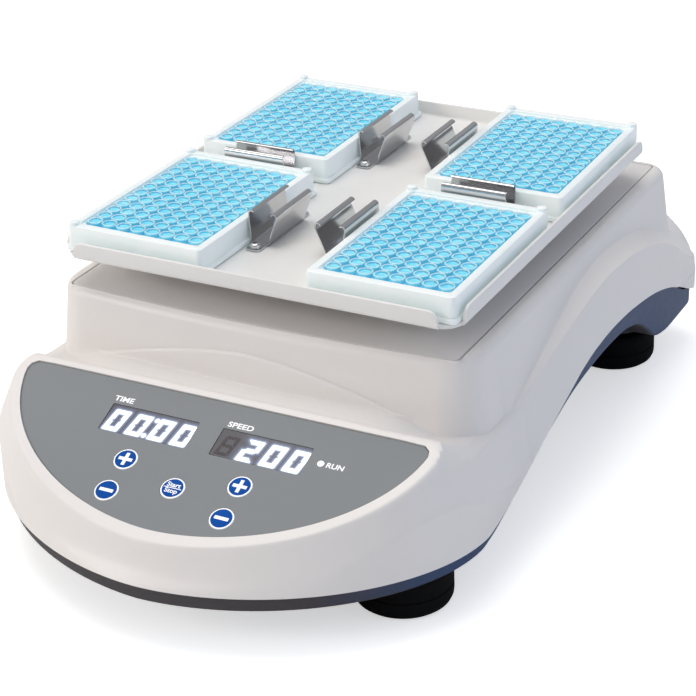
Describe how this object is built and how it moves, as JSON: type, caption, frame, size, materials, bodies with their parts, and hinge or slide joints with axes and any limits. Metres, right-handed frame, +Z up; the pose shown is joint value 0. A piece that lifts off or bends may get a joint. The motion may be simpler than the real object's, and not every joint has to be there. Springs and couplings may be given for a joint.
{
  "type": "vortex mixer",
  "caption": "Low bench vortex mixer: an orbiting flanged tray clips microplates above a sculpted housing with a sloping round-nosed control console.",
  "frame": {"origin": "on the table plane under the middle of the machine's footprint; the middle of the four microplates is 32.8 mm and the orbit's axis 44.8 mm behind it", "axes": "+X to the user's right, +Y to the back, +Z up; the console faces -Y"},
  "size_m": [0.278, 0.4564, 0.1557],
  "materials": {
    "housing": "fine satin moulded, warm light grey-white",
    "base": "dark blue-grey moulded",
    "feet": "black, matt",
    "tray": "satin white coating",
    "spring_steel": "bright rolled stainless strip",
    "overlay": "mid grey membrane, fine grain",
    "keys": "blue, white ring",
    "displays": "dark window over lit digits",
    "lamp": "clear lens",
    "board": "solder-mask green",
    "plated_steel": "zinc plated",
    "aluminium": "machined",
    "belt": "black toothless belt",
    "microplates": "clear polystyrene with tinted wells",
    "inlet": "black moulded"
  },
  "bodies": {
    "root": {"base_pan": "base", "upper_housing": "housing", "top_cover": "housing", "foot_front_left": "feet", "foot_front_right": "feet", "foot_rear_left": "feet", "foot_rear_right": "feet", "control_overlay": "overlay", "time_display": "displays", "speed_display": "displays", "run_led": "lamp", "control_pcb": "board", "power_supply": "board", "power_inlet": "inlet", "drive_deck": "plated_steel", "motor": "aluminium", "main_bearing": "plated_steel", "idler_bearing_left": "plated_steel", "idler_bearing_right": "plated_steel", "drive_belt": "belt"},
    "crank": {"crank_shaft": "plated_steel", "driven_pulley": "aluminium", "counterweight": "plated_steel"},
    "platform": {"carrier_plate": "aluminium", "post_front_left": "aluminium", "post_front_right": "aluminium", "post_rear_left": "aluminium", "post_rear_right": "aluminium", "tray": "tray", "clip_left_mid": "spring_steel", "clip_right_mid": "spring_steel", "clip_rear_a": "spring_steel", "clip_front_a": "spring_steel", "clip_rear_b": "spring_steel", "clip_front_b": "spring_steel", "clip_left_mid_screw_1": "plated_steel", "clip_left_mid_screw_2": "plated_steel", "clip_right_mid_screw_1": "plated_steel", "clip_right_mid_screw_2": "plated_steel", "clip_rear_a_screw_1": "plated_steel", "clip_rear_a_screw_2": "plated_steel", "clip_front_a_screw_1": "plated_steel", "clip_front_a_screw_2": "plated_steel", "clip_rear_b_screw_1": "plated_steel", "clip_rear_b_screw_2": "plated_steel", "clip_front_b_screw_1": "plated_steel", "clip_front_b_screw_2": "plated_steel"},
    "idler_left": {"idler_crank_left": "plated_steel"},
    "idler_right": {"idler_crank_right": "plated_steel"},
    "motor_spindle": {"motor_pulley": "aluminium"},
    "mains_rocker": {"power_rocker": "inlet"},
    "time_up_key": {"key_time_up": "keys"},
    "time_down_key": {"key_time_down": "keys"},
    "start_stop_key": {"key_start_stop": "keys"},
    "speed_up_key": {"key_speed_up": "keys"},
    "speed_down_key": {"key_speed_down": "keys"},
    "front_left_microplate": {"plate_front_left": "microplates"},
    "front_right_microplate": {"plate_front_right": "microplates"},
    "rear_left_microplate": {"plate_rear_left": "microplates"},
    "rear_right_microplate": {"plate_rear_right": "microplates"}
  },
  "joints": [
    {"name": "main_crank", "type": "hinge", "parent": "root", "child": "crank", "pos_m": [0, 0.0448, 0.076], "axis": [0, 0, 1], "continuous": true},
    {"name": "platform_pivot", "type": "hinge", "parent": "crank", "child": "platform", "pos_m": [0, 0.0463, 0.094], "axis": [0, 0, 1], "continuous": true},
    {"name": "idler_crank_left", "type": "hinge", "parent": "root", "child": "idler_left", "pos_m": [-0.084, -0.0192, 0.076], "axis": [0, 0, 1], "continuous": true},
    {"name": "idler_crank_right", "type": "hinge", "parent": "root", "child": "idler_right", "pos_m": [0.084, -0.0192, 0.076], "axis": [0, 0, 1], "continuous": true},
    {"name": "motor_spin", "type": "hinge", "parent": "root", "child": "motor_spindle", "pos_m": [0, 0.1648, 0.076], "axis": [0, 0, 1], "continuous": true},
    {"name": "mains_switch", "type": "hinge", "parent": "root", "child": "mains_rocker", "pos_m": [-0.0425, 0.2224, 0.051], "axis": [1, 0, 0], "range_deg": [-12, 0]},
    {"name": "time_up_key_press", "type": "slide", "parent": "root", "child": "time_up_key", "axis": [0, 0.3872, -0.922], "range_m": [0, 0.0004]},
    {"name": "time_down_key_press", "type": "slide", "parent": "root", "child": "time_down_key", "axis": [0, 0.3872, -0.922], "range_m": [0, 0.0004]},
    {"name": "start_stop_key_press", "type": "slide", "parent": "root", "child": "start_stop_key", "axis": [0, 0.3872, -0.922], "range_m": [0, 0.0004]},
    {"name": "speed_up_key_press", "type": "slide", "parent": "root", "child": "speed_up_key", "axis": [0, 0.3872, -0.922], "range_m": [0, 0.0004]},
    {"name": "speed_down_key_press", "type": "slide", "parent": "root", "child": "speed_down_key", "axis": [0, 0.3872, -0.922], "range_m": [0, 0.0004]},
    {"name": "front_left_lift", "type": "slide", "parent": "platform", "child": "front_left_microplate", "axis": [0, 0, 1], "range_m": [0, 0.03]},
    {"name": "front_right_lift", "type": "slide", "parent": "platform", "child": "front_right_microplate", "axis": [0, 0, 1], "range_m": [0, 0.03]},
    {"name": "rear_left_lift", "type": "slide", "parent": "platform", "child": "rear_left_microplate", "axis": [0, 0, 1], "range_m": [0, 0.03]},
    {"name": "rear_right_lift", "type": "slide", "parent": "platform", "child": "rear_right_microplate", "axis": [0, 0, 1], "range_m": [0, 0.03]}
  ],
  "couplings": [
    {"joint": "platform_pivot", "follows": "main_crank", "ratio": -1},
    {"joint": "idler_crank_left", "follows": "main_crank", "ratio": 1},
    {"joint": "idler_crank_right", "follows": "main_crank", "ratio": 1},
    {"joint": "motor_spin", "follows": "main_crank", "ratio": 3}
  ]
}
